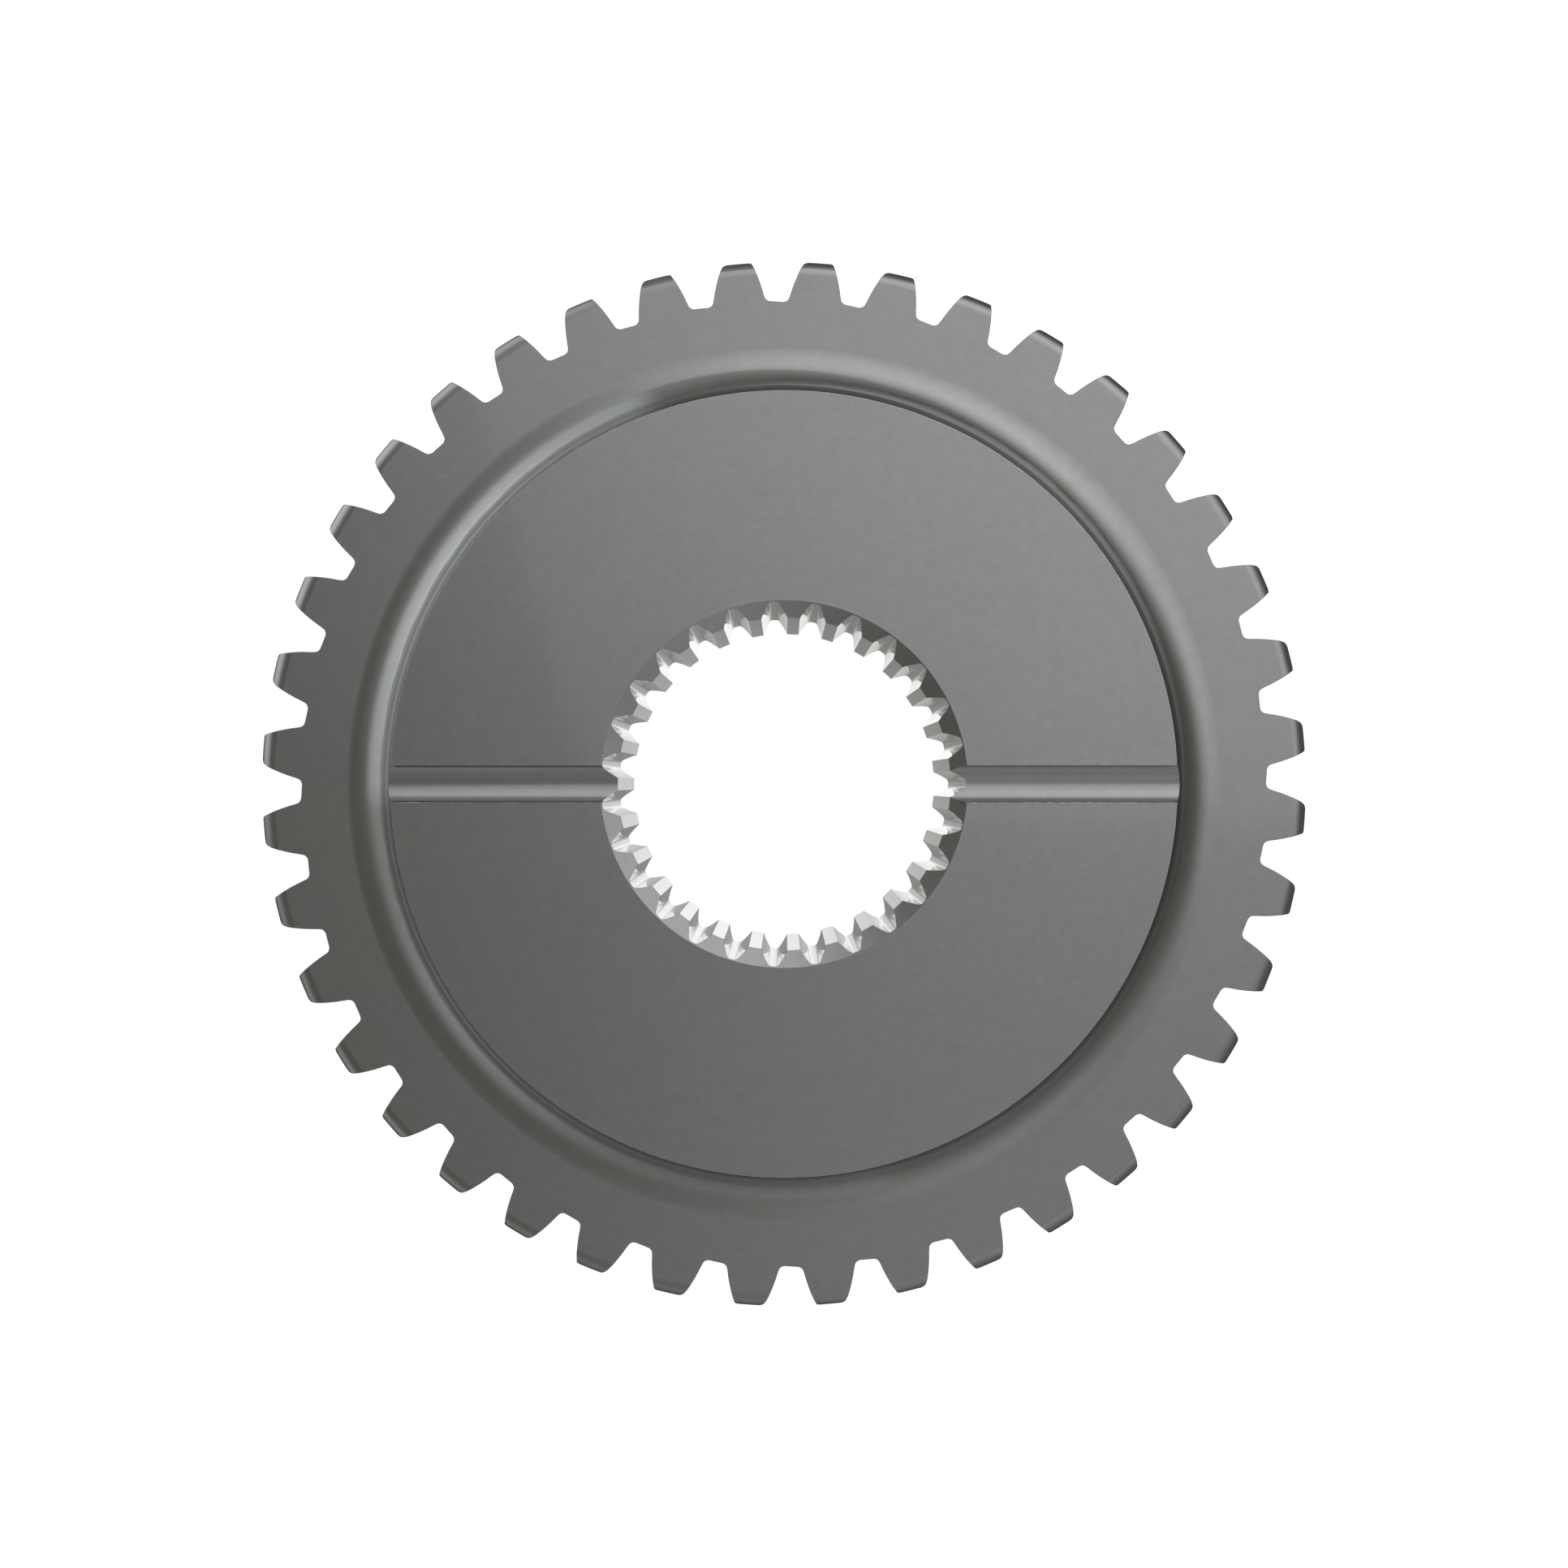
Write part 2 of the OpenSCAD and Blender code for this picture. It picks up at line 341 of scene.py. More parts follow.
def gear_skin():
    skin = Skin()
    outline, period, side, floor = tooth_outline()
    normal = outward(outline)
    inset = outline - normal * EDGE_BREAK
    outline_r = np.linalg.norm(outline, axis=1)
    inset_r = np.minimum(np.linalg.norm(inset, axis=1), TIP_R)

    # Toothed rim: walls, broken edges, and the faces of the teeth
    wall_top = lifted(outline, RIM_WIDTH - end_drop(np.minimum(outline_r, TIP_R)) - EDGE_BREAK)
    wall_foot = lifted(outline, end_drop(np.minimum(outline_r, TIP_R)) + EDGE_BREAK)
    skin.add([lifted(inset, end_drop(inset_r)), wall_foot], EDGE)
    skin.add([wall_foot, wall_top], WALL)
    skin.add([wall_top, lifted(inset, RIM_WIDTH - end_drop(inset_r))], EDGE)
    base = tooth_face(skin, inset, lambda r: RIM_WIDTH - end_drop(r), period, side, floor)
    tooth_face(skin, inset, end_drop, period, side, floor)
    base_r, base_angle = polar(base)
    columns = len(base)
    step = 2 * math.pi / columns
    even = np.mean(base_angle - step * np.arange(columns)) + step * np.arange(columns)

    # Rim face, from the teeth to the fillet
    steps = np.linspace(0, 1, FRONT_STEPS + 1)
    skin.add([ring(base_r + (FILLET_CENTRE_R - base_r) * t,
                   base_angle + (even - base_angle) * t, RIM_WIDTH) for t in steps], FLAT)

    # Fillet and side wall of the hub
    sweep = np.linspace(0, math.pi / 2 - HUB_WALL_LEAN, FILLET_STEPS + 1)
    skin.add([ring(FILLET_CENTRE_R - HUB_FILLET * math.sin(a), even,
                   FILLET_CENTRE_Z - HUB_FILLET * math.cos(a)) for a in sweep], FILLET)
    wall_end = ring(HUB_R + EDGE_BREAK * math.tan(HUB_WALL_LEAN), even, TOTAL_WIDTH - EDGE_BREAK)
    hub_edge = ring(HUB_R - EDGE_BREAK, even, TOTAL_WIDTH)
    skin.add([ring(WALL_FOOT_R, even, TOTAL_WIDTH - WALL_HEIGHT), wall_end], HUB_WALL)
    skin.add([wall_end, hub_edge], EDGE)

    # Splined bore, with its columns rolled round to face those of the teeth
    spline = spline_period()
    pitch = 2 * math.pi / SPLINE_COUNT
    bore = np.concatenate([turned(spline, pitch * i) for i in range(SPLINE_COUNT)])
    bore_angle = polar(bore)[1]
    shift = int(round(np.mean(bore_angle - even) / step))
    bore = np.roll(bore, shift, 0)
    into_metal = outward(bore)
    metal = bore + into_metal * EDGE_BREAK / 2
    bore_r = np.linalg.norm(bore, axis=1)
    metal_r, metal_angle = polar(metal)
    metal_angle += 2 * math.pi * np.round(np.mean(even - metal_angle) / (2 * math.pi))

    # Hub face and bevel, from the hub's edge into the bore
    skin.add([ring(HUB_R - EDGE_BREAK + (BEVEL_R - HUB_R + EDGE_BREAK) * t,
                   even + (metal_angle - even) * t, TOTAL_WIDTH) for t in steps], FLAT)
    bevel_rows = [ring(BEVEL_R + (metal_r - BEVEL_R) * t, metal_angle, 0)
                  for t in np.linspace(0, 1, BEVEL_STEPS + 1)]
    for row in bevel_rows:
        row[:, 2] = bevel_z(np.linalg.norm(row[:, :2], axis=1))
    skin.add(bevel_rows, BEVEL)
    bore_top = lifted(bore, bevel_z(bore_r) - EDGE_BREAK / 2)
    bore_foot = lifted(bore, rear_z(bore_r) + EDGE_BREAK / 2)
    skin.add([bevel_rows[-1], bore_top], EDGE)
    skin.add([bore_top, bore_foot], WALL)

    # Rear face, from the bore out to the teeth
    rear_start = lifted(metal, rear_z(metal_r))
    chamfer_r = np.maximum(metal_r + EDGE_BREAK / 5, MINOR_R + REAR_BREAK)
    skin.add([bore_foot, rear_start], EDGE)
    skin.add([rear_start, ring(chamfer_r, metal_angle, 0)], REAR_CHAMFER)
    skin.add([ring(chamfer_r + (base_r - chamfer_r) * t, metal_angle + (base_angle - metal_angle) * t, 0)
              for t in np.linspace(0, 1, REAR_STEPS + 1)], FLAT)
    return skin


def mesh_from(skin, name):
    mesh = bpy.data.meshes.new(name)
    points = np.concatenate(skin.points) * MM
    faces = np.concatenate(skin.faces)
    mesh.from_pydata(points.tolist(), [], faces.tolist())
    for kind in KINDS:
        mesh.materials.append(bpy.data.materials.get(kind) or bpy.data.materials.new(kind))
    mesh.polygons.foreach_set("material_index", np.concatenate(skin.kinds).astype(np.int32))
    return mesh


def welded(mesh):
    """Joins the surfaces into one closed skin whose faces all look outwards."""
    bm = bmesh.new()
    bm.from_mesh(mesh)
    bmesh.ops.remove_doubles(bm, verts=bm.verts, dist=0.002 * MM)
    bmesh.ops.dissolve_degenerate(bm, edges=bm.edges, dist=0.0005 * MM)
    bmesh.ops.recalc_face_normals(bm, faces=bm.faces)
    bm.to_mesh(mesh)
    bm.free()


def groove_cutter():
    """A long bar with a round underside, its lips flared to break the edges of the grooves."""
    lower, upper = [math.acos((GROOVE_CENTRE_Z - TOTAL_WIDTH + depth) / GROOVE_R)
                    for depth in (EDGE_BREAK, BURR_BREAK)]
    arc = [(GROOVE_R * math.sin(a), GROOVE_CENTRE_Z - GROOVE_R * math.cos(a))
           for a in np.linspace(-lower, upper, GROOVE_STEPS + 1)]
    (left, left_z), (right, right_z) = arc[0], arc[-1]
    section = arc + [(right + CUTTER_FLARE, right_z + CUTTER_FLARE),
                     (left - CUTTER_FLARE, left_z + CUTTER_FLARE)]
    reach = HUB_R + CUTTER_OVERRUN
    n = len(section)
    points = [(x, y, z) for x in (-reach, reach) for y, z in section]
    sides = [(i, (i + 1) % n, n + (i + 1) % n, n + i) for i in range(n)]
    ends = [tuple(range(n))[::-1], tuple(range(n, 2 * n))]
    mesh = bpy.data.meshes.new("groove_cutter")
    mesh.from_pydata((np.array(points) * MM).tolist(), [], sides + ends)
    for kind in KINDS:
        mesh.materials.append(bpy.data.materials.get(kind))
    kinds = [GROOVE] * GROOVE_STEPS + [EDGE] * 3 + [GROOVE] * 2
    mesh.polygons.foreach_set("material_index", np.array(kinds, np.int32))
    bm = bmesh.new()
    bm.from_mesh(mesh)
    bmesh.ops.recalc_face_normals(bm, faces=bm.faces)
    bm.to_mesh(mesh)
    bm.free()
    return bpy.data.objects.new("groove_cutter", mesh)


def cut_grooves(gear):
    cutter = groove_cutter()
    bpy.context.collection.objects.link(cutter)
    cut = gear.modifiers.new("grooves", "BOOLEAN")
    cut.operation = "DIFFERENCE"
    cut.solver = "EXACT"
    cut.object = cutter
    graph = bpy.context.evaluated_depsgraph_get()
    result = bpy.data.meshes.new_from_object(gear.evaluated_get(graph))
    gear.modifiers.clear()
    gear.data = result
    bpy.data.objects.remove(cutter)


def shade(mesh):
    """Gives every face corner the true normal of the surface that its face belongs to."""
    corner_count = len(mesh.loops)
    vertex = np.zeros(corner_count, np.int32)
    mesh.loops.foreach_get("vertex_index", vertex)
    kind_of_face = np.zeros(len(mesh.polygons), np.int32)
    mesh.polygons.foreach_get("material_index", kind_of_face)
    sizes = np.zeros(len(mesh.polygons), np.int32)
    mesh.polygons.foreach_get("loop_total", sizes)
    kind = np.repeat(kind_of_face, sizes)
    points = np.zeros(len(mesh.vertices) * 3)
    mesh.vertices.foreach_get("co", points)
    x, y, z = (points.reshape(-1, 3)[vertex] / MM).T
    face_normal = np.zeros(len(mesh.polygons) * 3)
    mesh.polygons.foreach_get("normal", face_normal)
    up = np.sign(np.repeat(face_normal.reshape(-1, 3)[:, 2], sizes))
    r = np.hypot(x, y)

    mesh.shade_smooth()
    crisp = crisp_edges(mesh, kind_of_face, face_normal.reshape(-1, 3))
    mesh.edges.foreach_set("use_edge_sharp", crisp)
    normals = np.zeros(corner_count * 3)
    mesh.corner_normals.foreach_get("vector", normals)
    normals = normals.reshape(-1, 3)

    def turned_surface(radial, axial):
        return np.stack([radial * x / r, radial * y / r, np.broadcast_to(axial, x.shape)], 1)

    end_z = np.where(up > 0, RIM_WIDTH - END_ROUND_R, END_ROUND_R)
    bevel_tilt = math.atan2(BEVEL_DEPTH, BEVEL_R - MINOR_R)
    exact = {
        FLAT: turned_surface(0, up),
        TOOTH_END: turned_surface(np.maximum(r - END_ROUND_START, 0), z - end_z),
        FILLET: turned_surface(FILLET_CENTRE_R - r, FILLET_CENTRE_Z - z),
        HUB_WALL: turned_surface(math.cos(HUB_WALL_LEAN), math.sin(HUB_WALL_LEAN)),
        BEVEL: turned_surface(-math.sin(bevel_tilt), math.cos(bevel_tilt)),
        GROOVE: np.stack([0 * y, -y, GROOVE_CENTRE_Z - z], 1),
    }
    for which, values in exact.items():
        chosen = kind == which
        normals[chosen] = values[chosen]
    normals /= np.linalg.norm(normals, axis=1)[:, None]

    # A broken edge takes the normals of the surfaces on either side of it, so that it looks round.
    total = np.zeros((len(mesh.vertices), 3))
    others = kind != EDGE
    np.add.at(total, vertex[others], normals[others])
    size = np.linalg.norm(total, axis=1)
    on_edge = (kind == EDGE) & (size[vertex] > 0.5)
    normals[on_edge] = total[vertex[on_edge]] / size[vertex[on_edge]][:, None]
    mesh.normals_split_custom_set(normals.tolist())
    return kind


def crisp_edges(mesh, kind_of_face, face_normal):
    """Marks the edges where one kind of surface meets another, or where a wall turns a corner."""
    edge_of_corner = np.zeros(len(mesh.loops), np.int32)
    mesh.loops.foreach_get("edge_index", edge_of_corner)
    sizes = np.zeros(len(mesh.polygons), np.int32)
    mesh.polygons.foreach_get("loop_total", sizes)
    face_of_corner = np.repeat(np.arange(len(mesh.polygons)), sizes)
    order = np.argsort(edge_of_corner, kind="stable")
    first, second = order[0::2], order[1::2]
    a, b = face_of_corner[first], face_of_corner[second]
    bend = np.sum(face_normal[a] * face_normal[b], axis=1) < math.cos(math.radians(30))
    crisp = np.zeros(len(mesh.edges), bool)
    crisp[edge_of_corner[first]] = (kind_of_face[a] != kind_of_face[b]) | bend
    return crisp


def make_gear():
    mesh = mesh_from(gear_skin(), "gear")
    welded(mesh)
    gear = bpy.data.objects.new("gear", mesh)
    bpy.context.collection.objects.link(gear)
    cut_grooves(gear)
    kind = shade(gear.data)
    mark_wear(gear.data, kind)
    gear.data.materials.clear()
    gear.data.materials.append(satin_steel())
    gear.data.polygons.foreach_set("material_index", np.zeros(len(gear.data.polygons), np.int32))
    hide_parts(NODE)
    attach(gear, "root")


def mark_wear(mesh, kind):
    """Keeps, for the material, where the broken edges are and which walls run along the gear."""
    wear = mesh.attributes.new("edge_wear", "FLOAT", "CORNER")
    wear.data.foreach_set("value", (kind == EDGE).astype(np.float32))
    walls = mesh.attributes.new("cut_along", "FLOAT", "CORNER")
    walls.data.foreach_set("value", (kind == WALL).astype(np.float32))


# ---------------------------------------------------------------- material

class Nodes:
    """A short way to write a node tree."""

    def __init__(self, tree):
        self.tree = tree
        tree.nodes.clear()

    def new(self, kind, **settings):
        node = self.tree.nodes.new(kind)
        for name, value in settings.items():
            setattr(node, name, value)
        return node

    def feed(self, socket, value):
        if isinstance(value, bpy.types.NodeSocket):
            self.tree.links.new(value, socket)
        elif value is not None:
            socket.default_value = value

    def math(self, operation, a, b=None, c=None, clamp=False):
        node = self.new("ShaderNodeMath", operation=operation, use_clamp=clamp)
        for socket, value in zip(node.inputs, (a, b, c)):
            self.feed(socket, value)
        return node.outputs[0]

    def vector(self, operation, a, b=None, scale=None):
        node = self.new("ShaderNodeVectorMath", operation=operation)
        for socket, value in zip(node.inputs, (a, b)):
            self.feed(socket, value)
        if scale is not None:
            self.feed(node.inputs["Scale"], scale)
        return node.outputs["Value" if operation in ("DOT_PRODUCT", "LENGTH") else "Vector"]

    def noise(self, vector, scale, detail=2.0, roughness=0.5):
        """Noise that stays near 0.5 and mostly lies between 0.3 and 0.7."""
        node = self.new("ShaderNodeTexNoise")
        self.feed(node.inputs["Vector"], vector)
        node.inputs["Scale"].default_value = scale
        node.inputs["Detail"].default_value = detail
        node.inputs["Roughness"].default_value = roughness
        return node.outputs["Fac"]

    def mix(self, share, a, b):
        node = self.new("ShaderNodeMix", data_type="RGBA")
        self.feed(node.inputs["Factor"], share)
        self.feed(node.inputs["A"], a)
        self.feed(node.inputs["B"], b)
        return node.outputs["Result"]

    def ramp(self, value, start, end, low=0.0, high=1.0):
        node = self.new("ShaderNodeMapRange", clamp=True, interpolation_type="SMOOTHSTEP")
        for name, number in (("From Min", start), ("From Max", end), ("To Min", low), ("To Max", high)):
            node.inputs[name].default_value = number
        self.feed(node.inputs["Value"], value)
        return node.outputs["Result"]

    def attribute(self, name):
        return self.new("ShaderNodeAttribute", attribute_name=name).outputs["Fac"]

    def combine(self, x, y, z):
        node = self.new("ShaderNodeCombineXYZ")
        for socket, value in zip(node.inputs, (x, y, z)):
            self.feed(socket, value)
        return node.outputs[0]

    def bump(self, height, distance, normal=None):
        node = self.new("ShaderNodeBump")
        node.inputs["Distance"].default_value = distance
        self.feed(node.inputs["Height"], height)
        self.feed(node.inputs["Normal"], normal)
        return node.outputs["Normal"]


# Steel, as linear colour, and how smooth it is
STEEL_WARM = (0.563, 0.560, 0.556, 1)
STEEL_COOL = (0.557, 0.561, 0.566, 1)
STAIN = (0.47, 0.46, 0.43, 1)
# Painted shade: a dark colour for a thin line along the lower lip of each groove, standing in for the darkness
# that the steep lip mirrors
LIP_SHADE = (0.20, 0.19, 0.17, 1)
BARE_STEEL = (0.78, 0.78, 0.77, 1)
SMOOTHEST = 0.03
ROUGHEST = 0.065
GRAIN_HEIGHT = 0.0006 * MM
TURNING_HEIGHT = 0.0012 * MM
STREAK_HEIGHT = 0.002 * MM
DENT_HEIGHT = 0.002 * MM

# How finely each pattern repeats, per millimetre
CLOUD_SCALE = 0.045
PATCH_SCALE = 0.16
MOTTLE_SCALE = 0.55
WEAR_SCALE = 0.9
TURNING_SCALE = 1.1
GRAIN_SCALE = 3.2
STREAK_STRETCH = (3.4, 3.4, 0.12)
DASH_STRETCH = (0.9, 0, 0)


def nicks(n, position, angle, cell, slender, share):
    """Short straight nicks, one in some of the cells of a stretched grid. Gives 1 inside a nick."""
    c, s = math.cos(angle), math.sin(angle)
    along = n.vector("DOT_PRODUCT", position, (c / slender, s / slender, 0))
    across = n.vector("DOT_PRODUCT", position, (-s, c, 0))
    height = n.vector("DOT_PRODUCT", position, (0, 0, 1))
    cells = n.new("ShaderNodeTexVoronoi")
    cells.inputs["Scale"].default_value = 1 / cell
    cells.inputs["Randomness"].default_value = 1.0
    n.feed(cells.inputs["Vector"], n.combine(along, across, height))
    parts = n.new("ShaderNodeSeparateXYZ")
    n.feed(parts.inputs[0], cells.outputs["Color"])
    chosen = n.math("LESS_THAN", parts.outputs[0], share)
    inside = n.ramp(cells.outputs["Distance"], 0.16, 0.07)
    return n.math("MULTIPLY", inside, chosen)


def satin_steel():
    """Ground steel: cloudy tone, faint turning marks, streaked walls, worn edges, and a painted shade line
    along the lower lip of each groove.
    """
    material = bpy.data.materials.new("satin_steel")
    material.use_nodes = True
    n = Nodes(material.node_tree)
    out = n.new("ShaderNodeOutputMaterial")
    shader = n.new("ShaderNodeBsdfPrincipled")
    n.feed(out.inputs["Surface"], shader.outputs[0])
    shader.inputs["Metallic"].default_value = 1.0

    # Place on the gear, in millimetres, and distance from its axis
    position = n.vector("SCALE", n.new("ShaderNodeTexCoord").outputs["Object"], scale=1 / MM)
    flat_position = n.vector("MULTIPLY", position, (1, 1, 0))
    r = n.vector("LENGTH", flat_position)
    parts = n.new("ShaderNodeSeparateXYZ")
    n.feed(parts.inputs[0], position)
    z = parts.outputs[2]
    wall = n.attribute("cut_along")
    edge = n.attribute("edge_wear")
    turned_face = n.math("SUBTRACT", 1.0, wall, clamp=True)

    # Patterns, each about 0.5 on average
    clouds = n.noise(position, CLOUD_SCALE, 3.0)
    mottle = n.noise(position, MOTTLE_SCALE, 3.0, 0.6)
    grain = n.noise(position, GRAIN_SCALE, 2.0, 0.6)
    turning = n.noise(n.combine(r, z, 0.0), TURNING_SCALE, 2.0, 0.55)
    patches = n.noise(position, PATCH_SCALE, 3.0, 0.6)
    streaks = n.noise(n.vector("MULTIPLY", position, STREAK_STRETCH), 1.0, 2.0, 0.6)
    lip = n.math("ABSOLUTE", n.math("SUBTRACT", parts.outputs[1], GROOVE_WIDTH / 2 + 0.05))
    dashes = n.noise(n.vector("MULTIPLY", position, DASH_STRETCH), 1.0, 3.0, 0.8)
    on_top = n.math("GREATER_THAN", z, TOTAL_WIDTH - 0.2)
    at_lip = n.math("MULTIPLY", n.ramp(lip, 0.18, 0.10), on_top)
    burrs = n.math("MULTIPLY", at_lip, n.ramp(dashes, 0.46, 0.56))
    # A thin line of painted shade along the lower lip of each groove, near the top of the hub
    lower_lip = n.math("ABSOLUTE", n.math("ADD", parts.outputs[1], GROOVE_WIDTH / 2 - 0.1))
    near_top = n.math("GREATER_THAN", z, TOTAL_WIDTH - 0.35)
    painted_lip_shade = n.math("MULTIPLY", n.ramp(lower_lip, 0.25, 0.12), near_top)
    small_nicks = nicks(n, position, math.radians(50), 0.75, 3.2, 0.05)
    long_nicks = nicks(n, position, math.radians(-24), 1.3, 4.0, 0.012)
    nick = n.math("MAXIMUM", small_nicks, long_nicks)

    # Colour
    colour = n.mix(n.ramp(clouds, 0.32, 0.68), STEEL_COOL, STEEL_WARM)
    tone = n.math("MULTIPLY_ADD", mottle, 0.16, 0.92)
    tone = n.math("MULTIPLY", tone, n.math("MULTIPLY_ADD", grain, 0.08, 0.96))
    turned_marks = n.math("MULTIPLY", turning, turned_face)
    tone = n.math("MULTIPLY", tone, n.math("MULTIPLY_ADD", turned_marks, 0.05, 0.975))
    streak_tone = n.math("MULTIPLY", n.math("SUBTRACT", streaks, 0.5), wall)
    tone = n.math("MULTIPLY", tone, n.math("MULTIPLY_ADD", streak_tone, 0.14, 1.0))
    colour = n.vector("SCALE", colour, scale=tone)
    stain = n.math("MULTIPLY", n.ramp(patches, 0.60, 0.74), n.ramp(mottle, 0.42, 0.60))
    colour = n.mix(n.math("MULTIPLY", stain, 0.35), colour, STAIN)
    # The painted shade line darkens the colour, on the hub only
    on_hub = n.ramp(r, HUB_R + 0.3, HUB_R + 0.1)
    colour = n.mix(n.math("MULTIPLY", n.math("MULTIPLY", painted_lip_shade, on_hub), 0.5), colour, LIP_SHADE)
    worn = n.math("MULTIPLY", edge, n.ramp(n.noise(position, WEAR_SCALE, 3.0, 0.7), 0.42, 0.60))
    bare = n.math("MAXIMUM", n.math("MULTIPLY", worn, 0.8), n.math("MULTIPLY", nick, 0.5))
    bare = n.math("MAXIMUM", bare, n.math("MULTIPLY", burrs, 0.45))
    n.feed(shader.inputs["Base Color"], n.mix(bare, colour, BARE_STEEL))

    # Roughness
    uneven = n.math("ADD", n.math("MULTIPLY", mottle, 0.5), n.math("MULTIPLY", patches, 0.5))
    roughness = n.ramp(uneven, 0.30, 0.70, SMOOTHEST, ROUGHEST)
    roughness = n.math("MULTIPLY_ADD", wall, -0.01, roughness)
    roughness = n.math("MULTIPLY_ADD", stain, 0.05, roughness)
    roughness = n.math("MULTIPLY_ADD", nick, 0.04, roughness)
    n.feed(shader.inputs["Roughness"], roughness)

    # Relief
    normal = n.bump(grain, GRAIN_HEIGHT)
    normal = n.bump(turned_marks, TURNING_HEIGHT, normal)
    normal = n.bump(n.math("MULTIPLY", streaks, wall), STREAK_HEIGHT, normal)
    normal = n.bump(n.math("MULTIPLY", worn, mottle), DENT_HEIGHT, normal)
    n.feed(shader.inputs["Normal"], normal)
    return material


# ---------------------------------------------------------------- stage

CAMERA_HEIGHT = 0.4642
CAMERA_LENS = 57.97
SENSOR = 36.0


def make_camera():
    data = bpy.data.cameras.new("camera")
    data.lens = CAMERA_LENS
    data.sensor_width = SENSOR
    camera = bpy.data.objects.new("camera", data)
    camera.location = (0, 0, CAMERA_HEIGHT)
    bpy.context.collection.objects.link(camera)
    bpy.context.scene.camera = camera


# Tints of the light
NEUTRAL = (1.0, 1.0, 1.0)
WARM = (1.05, 1.03, 0.92)
COOL = (0.94, 1.01, 1.05)

# The studio. Which lights there are, where they stand and how strong they are was fitted to the shading in the
# photo by least squares, one light at a time, and then rounded. They aren't the real studio's lights.

# Light that comes evenly from all round
AMBIENT = 0.090

# Soft round lights: name, direction from +X, tilt from straight up, spread, strength and tint.
# Angles are in degrees here and below.
LIGHTS = [
    ("overhead", 0, 0, 8, 0.070, NEUTRAL),
    ("overhead_right", 20, 12, 7, 0.106, COOL),
    ("overhead_upper_right", 65, 12, 7, 0.064, NEUTRAL),
    ("overhead_upper", 110, 12, 7, 0.089, COOL),
    ("overhead_lower", 290, 12, 7, 0.055, COOL),
    ("inner_right", 10, 26, 11, 0.176, COOL),
    ("inner_upper_right", 50, 26, 11, 0.130, NEUTRAL),
    ("inner_upper", 90, 26, 11, 0.216, NEUTRAL),
    ("inner_lower", 290, 26, 11, 0.077, COOL),
    ("key_right", 15, 45, 14, 0.268, NEUTRAL),
    ("key_middle", 55, 45, 14, 0.294, COOL),
    ("key_upper", 95, 45, 14, 0.162, COOL),
    ("key_low_right", 46, 66, 16, 0.345, NEUTRAL),
    ("key_low_upper", 82, 66, 16, 0.140, NEUTRAL),
    ("lower_right_fill", 310, 45, 16, 0.099, COOL),
    ("lower_fill", 290, 60, 30, 0.132, NEUTRAL),
    ("left_window_middle", 145, 80, 25, 0.288, NEUTRAL),
    ("left_window_foot", 145, 114, 18, 0.369, NEUTRAL),
    ("left_side", 180, 90, 17, 0.051, WARM),
    ("lower_left_side", 216, 90, 17, 0.157, NEUTRAL),
    ("through_the_bore", 65, 174, 5, 1.046, NEUTRAL),
]

# A softbox overhead and slightly to the upper right, with two straight, sharp edges. An edge lies in a plane
# through the middle of the scene, and is given by that plane's normal on the lit side.
SOFTBOX_EDGES = [(0.958, 0.274, 0.075), (0.029, 1.0, 0.0115)]
SOFTBOX_EDGE_SOFTNESS = 0.0015
SOFTBOX = (50, 15, 25, 0.039)

# The upper key light, softly shaded on two sides
KEY_EDGES = [(-0.4593, 0.1994, 0.7074), (0.3121, -0.2674, 0.5848)]
KEY_EDGE_SOFTNESS = 0.06
KEY = (85, 55, 16, 0.205)

# Windows with upright sides: directions from and to, tilts from and to, how soft the top and bottom are,
# and strength
WINDOWS = [
    (110, 182, 60, 106, 12, 0.237),
    (182, 285, 62, 108, 14, 0.054),
]
WINDOW_SIDE_SOFTNESS = 3


def towards(azimuth, tilt):
    a, t = math.radians(azimuth), math.radians(tilt)
    return Vector((math.sin(t) * math.cos(a), math.sin(t) * math.sin(a), math.cos(t)))


def round_glow(n, direction, azimuth, tilt, spread):
    """A soft round light, which is 1 in its middle."""
    sharpness = 1 / math.radians(spread) ** 2
    cosine = n.vector("DOT_PRODUCT", direction, towards(azimuth, tilt))
    return n.math("EXPONENT", n.math("MULTIPLY_ADD", cosine, sharpness, -sharpness))


def cut_straight(n, direction, glow, edges, softness):
    """Keeps only the part of a light that lies inside some straight edges."""
    for edge in edges:
        side = n.vector("DOT_PRODUCT", direction, Vector(edge).normalized())
        glow = n.math("MULTIPLY", glow, n.ramp(side, -softness, softness))
    return glow


def window_glow(n, direction, start, end, top, bottom, softness):
    """A light with upright sides, and with a softer top and bottom."""
    parts = n.new("ShaderNodeSeparateXYZ")
    n.feed(parts.inputs[0], direction)
    azimuth = n.math("ARCTAN2", parts.outputs[1], parts.outputs[0])
    middle, half = math.radians((start + end) / 2), math.radians((end - start) / 2)
    turn = n.math("ABSOLUTE", n.math("WRAP", n.math("SUBTRACT", azimuth, middle), math.pi, -math.pi))
    tilt = n.math("ARCCOSINE", parts.outputs[2])
    height, reach = math.radians((top + bottom) / 2), math.radians((bottom - top) / 2)
    rise = n.math("ABSOLUTE", n.math("SUBTRACT", tilt, height))
    crisp, soft = math.radians(WINDOW_SIDE_SOFTNESS), math.radians(softness)
    sides = n.ramp(turn, half + crisp, half - crisp)
    return n.math("MULTIPLY", sides, n.ramp(rise, reach + soft, reach - soft))


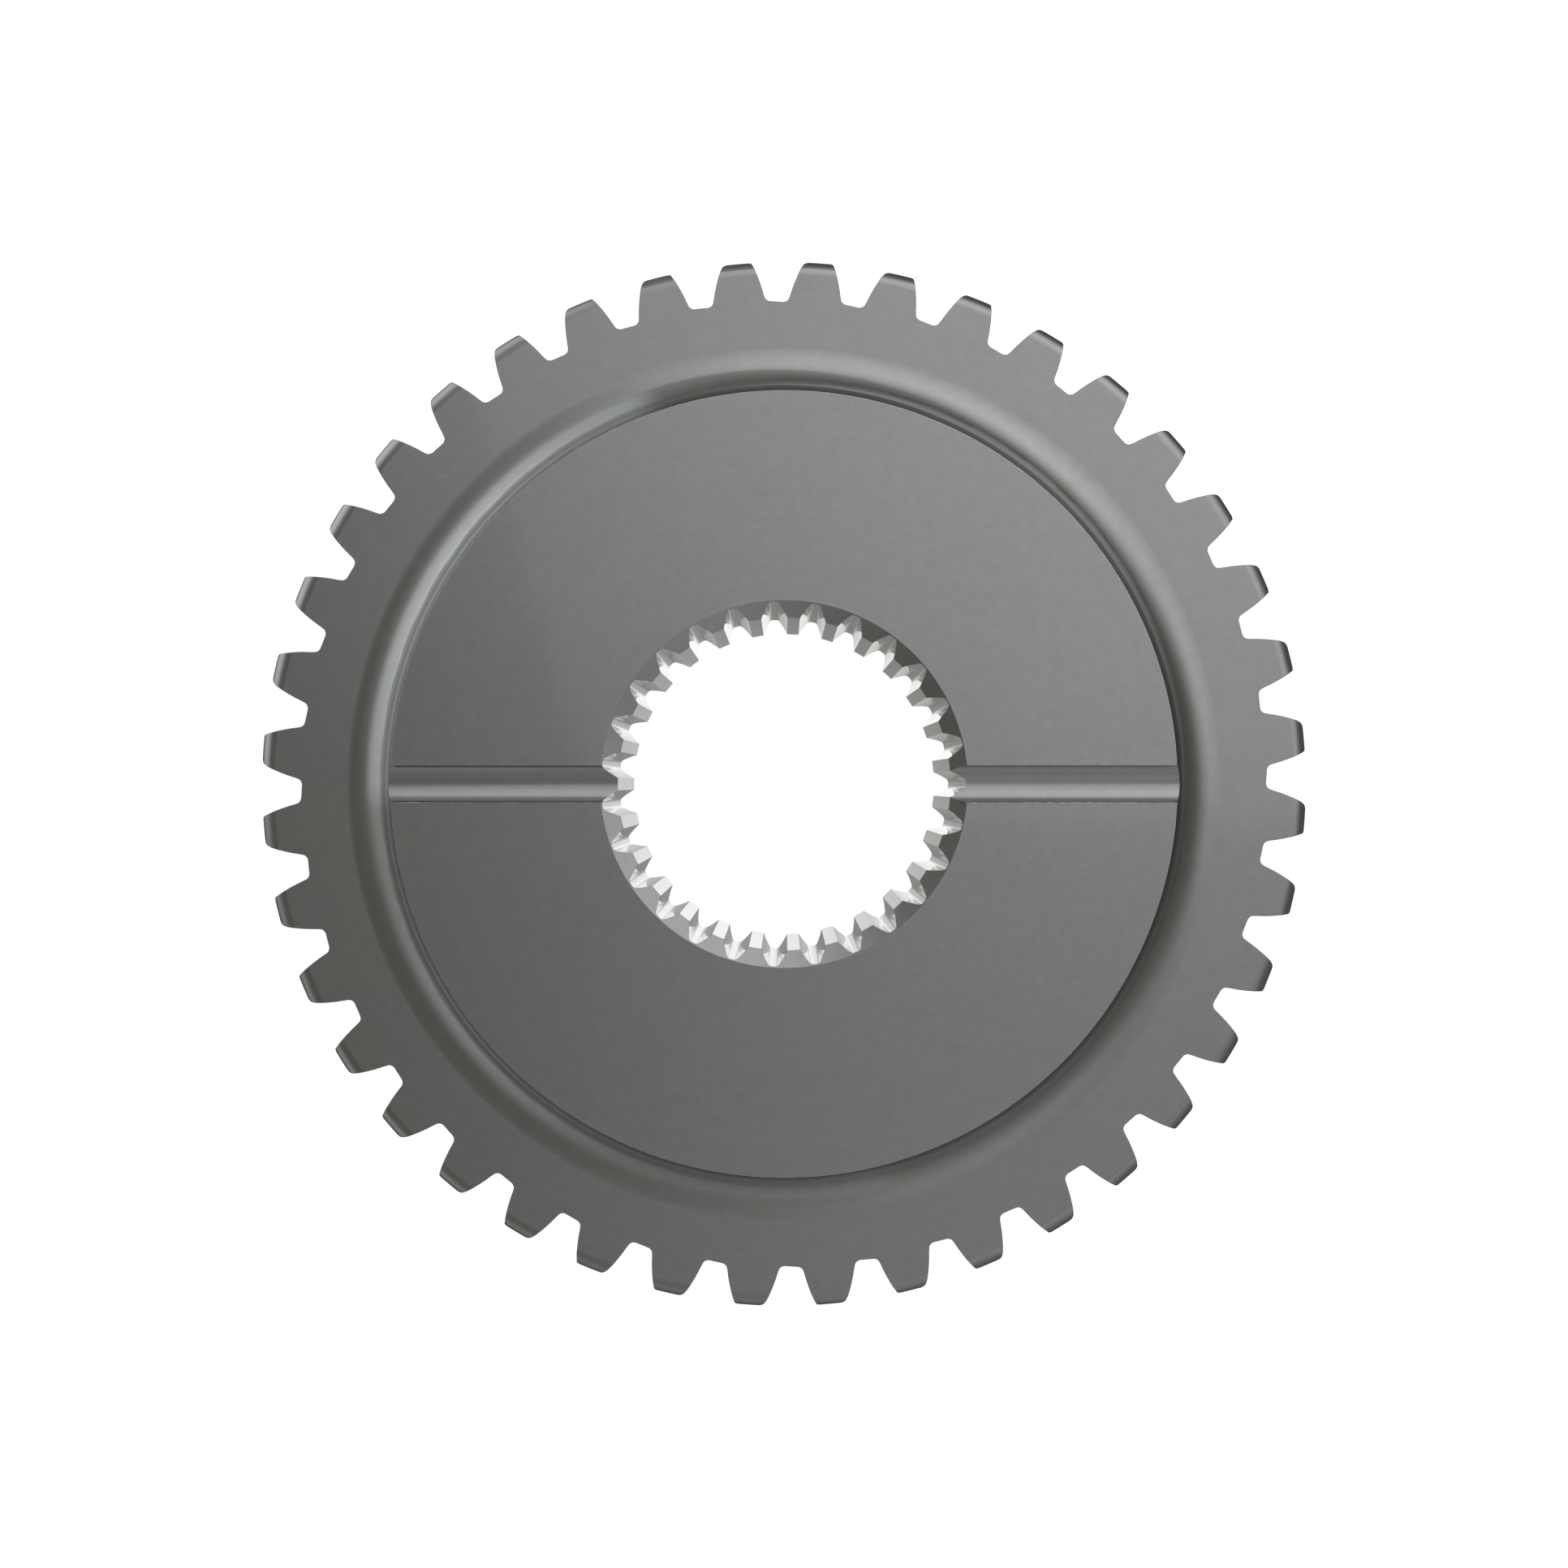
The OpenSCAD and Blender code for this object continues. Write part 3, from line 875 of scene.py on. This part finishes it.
def make_world():
    world = bpy.data.worlds.new("studio")
    bpy.context.scene.world = world
    world.use_nodes = True
    n = Nodes(world.node_tree)
    direction = n.new("ShaderNodeTexCoord").outputs["Generated"]
    glows = [(round_glow(n, direction, azimuth, tilt, spread), strength, tint)
             for name, azimuth, tilt, spread, strength, tint in LIGHTS]
    for (*shape, strength), edges, softness in ((SOFTBOX, SOFTBOX_EDGES, SOFTBOX_EDGE_SOFTNESS),
                                                (KEY, KEY_EDGES, KEY_EDGE_SOFTNESS)):
        glow = cut_straight(n, direction, round_glow(n, direction, *shape), edges, softness)
        glows.append((glow, strength, NEUTRAL))
    glows += [(window_glow(n, direction, *shape), strength, COOL) for *shape, strength in WINDOWS]
    total = tuple(AMBIENT * c for c in WARM)
    for glow, strength, tint in glows:
        light = n.vector("SCALE", tint, scale=n.math("MULTIPLY", glow, strength))
        total = n.vector("ADD", total, light)
    lit = n.new("ShaderNodeBackground")
    n.feed(lit.inputs["Color"], total)
    seen = n.new("ShaderNodeBackground")
    seen.inputs["Color"].default_value = (1, 1, 1, 1)
    seen.inputs["Strength"].default_value = 1.0
    choice = n.new("ShaderNodeMixShader")
    n.feed(choice.inputs["Fac"], n.new("ShaderNodeLightPath").outputs["Is Camera Ray"])
    n.feed(choice.inputs[1], lit.outputs[0])
    n.feed(choice.inputs[2], seen.outputs[0])
    out = n.new("ShaderNodeOutputWorld")
    n.feed(out.inputs["Surface"], choice.outputs[0])


# The floor, in metres. It glows enough to look as white as the background, and the gear doesn't mirror it.
FLOOR_HALF = 4.0
FLOOR_GAP = 0.00005
FLOOR_GLOW = 0.95


def make_floor():
    mesh = bpy.data.meshes.new("floor")
    corners = [(x * FLOOR_HALF, y * FLOOR_HALF, 0) for x, y in ((-1, -1), (1, -1), (1, 1), (-1, 1))]
    mesh.from_pydata(corners, [], [(0, 1, 2, 3)])
    floor = bpy.data.objects.new("floor", mesh)
    floor.location.z = low.z - FLOOR_GAP
    floor.visible_glossy = False
    bpy.context.collection.objects.link(floor)
    material = bpy.data.materials.new("white_floor")
    material.use_nodes = True
    shader = material.node_tree.nodes["Principled BSDF"]
    shader.inputs["Base Color"].default_value = (0.8, 0.8, 0.8, 1)
    shader.inputs["Roughness"].default_value = 0.9
    shader.inputs["Emission Color"].default_value = (1, 1, 1, 1)
    shader.inputs["Emission Strength"].default_value = FLOOR_GLOW
    mesh.materials.append(material)


make_camera()
make_world()
make_floor()
make_gear()
bpy.context.scene.view_settings.view_transform = "Standard"
